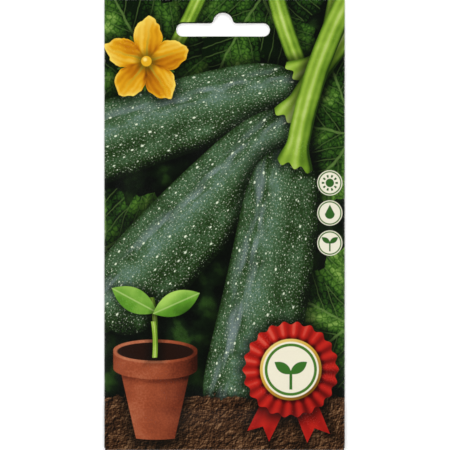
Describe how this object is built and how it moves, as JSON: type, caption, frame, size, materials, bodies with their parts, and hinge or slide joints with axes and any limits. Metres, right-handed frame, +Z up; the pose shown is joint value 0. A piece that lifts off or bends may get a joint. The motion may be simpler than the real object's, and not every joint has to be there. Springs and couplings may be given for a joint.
{
  "type": "seed packet",
  "caption": "Flat sealed paper seed packet: a printed sheet folded round and glued behind, with a swollen pouch of loose squash seeds and a flat header with a hang slot.",
  "frame": {"origin": "middle of the packet's footprint, on the surface that it lies on", "axes": "+X across the packet to the front's right, +Y along it to the header with the hang slot, +Z up out of the printed front"},
  "size_m": [0.08, 0.15, 0.0039],
  "materials": {
    "coated_paper": "satin",
    "seed_coat": "satin"
  },
  "bodies": {
    "root": {"paper_sleeve": "coated_paper", "seed_01": "seed_coat", "seed_02": "seed_coat", "seed_03": "seed_coat", "seed_04": "seed_coat", "seed_05": "seed_coat", "seed_06": "seed_coat", "seed_07": "seed_coat", "seed_08": "seed_coat", "seed_09": "seed_coat", "seed_10": "seed_coat", "seed_11": "seed_coat", "seed_12": "seed_coat"}
  },
  "joints": []
}
